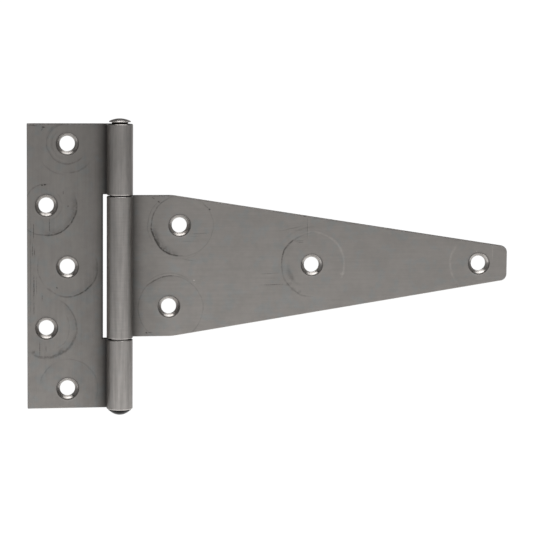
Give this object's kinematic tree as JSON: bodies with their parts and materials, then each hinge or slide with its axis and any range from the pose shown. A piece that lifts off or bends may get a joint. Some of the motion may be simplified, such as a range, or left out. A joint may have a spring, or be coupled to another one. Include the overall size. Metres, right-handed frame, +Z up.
{
  "type": "tee hinge",
  "caption": "Bare steel tee hinge: a notched upright plate and a long tapered strap, both countersunk for screws, turn on one riveted pin.",
  "frame": {"origin": "on the butt leaf's flat back face at mid-height, 15 mm to the butt side of the pin's axis, where the leaf lies on its post", "axes": "+X along the strap towards its tip, +Y out of both leaves' backs into the post and gate, +Z up along the pin towards its mushroom head; the countersunk front looks towards -Y"},
  "size_m": [0.258, 0.0137, 0.1561],
  "materials": {
    "butt_steel": "bare mill-finish steel sheet, satin, with faint swirl rings round the screw holes and bright machined countersinks",
    "strap_steel": "bare mill-finish steel sheet, satin, with faint swirl rings round the screw holes and bright machined countersinks",
    "pin_steel": "bare round bar, semi-bright, with formed heads"
  },
  "bodies": {
    "butt": {"butt_leaf": "butt_steel"},
    "strap": {"strap_leaf": "strap_steel"},
    "pin": {"hinge_pin": "pin_steel"}
  },
  "joints": [
    {"name": "strap_swing", "type": "hinge", "parent": "butt", "child": "strap", "pos_m": [0.015, -0.00685, 0], "axis": [0, 0, -1], "range_deg": [-100, 188]},
    {"name": "pin_turn", "type": "hinge", "parent": "butt", "child": "pin", "pos_m": [0.015, -0.00685, 0], "axis": [0, 0, 1], "continuous": true}
  ]
}
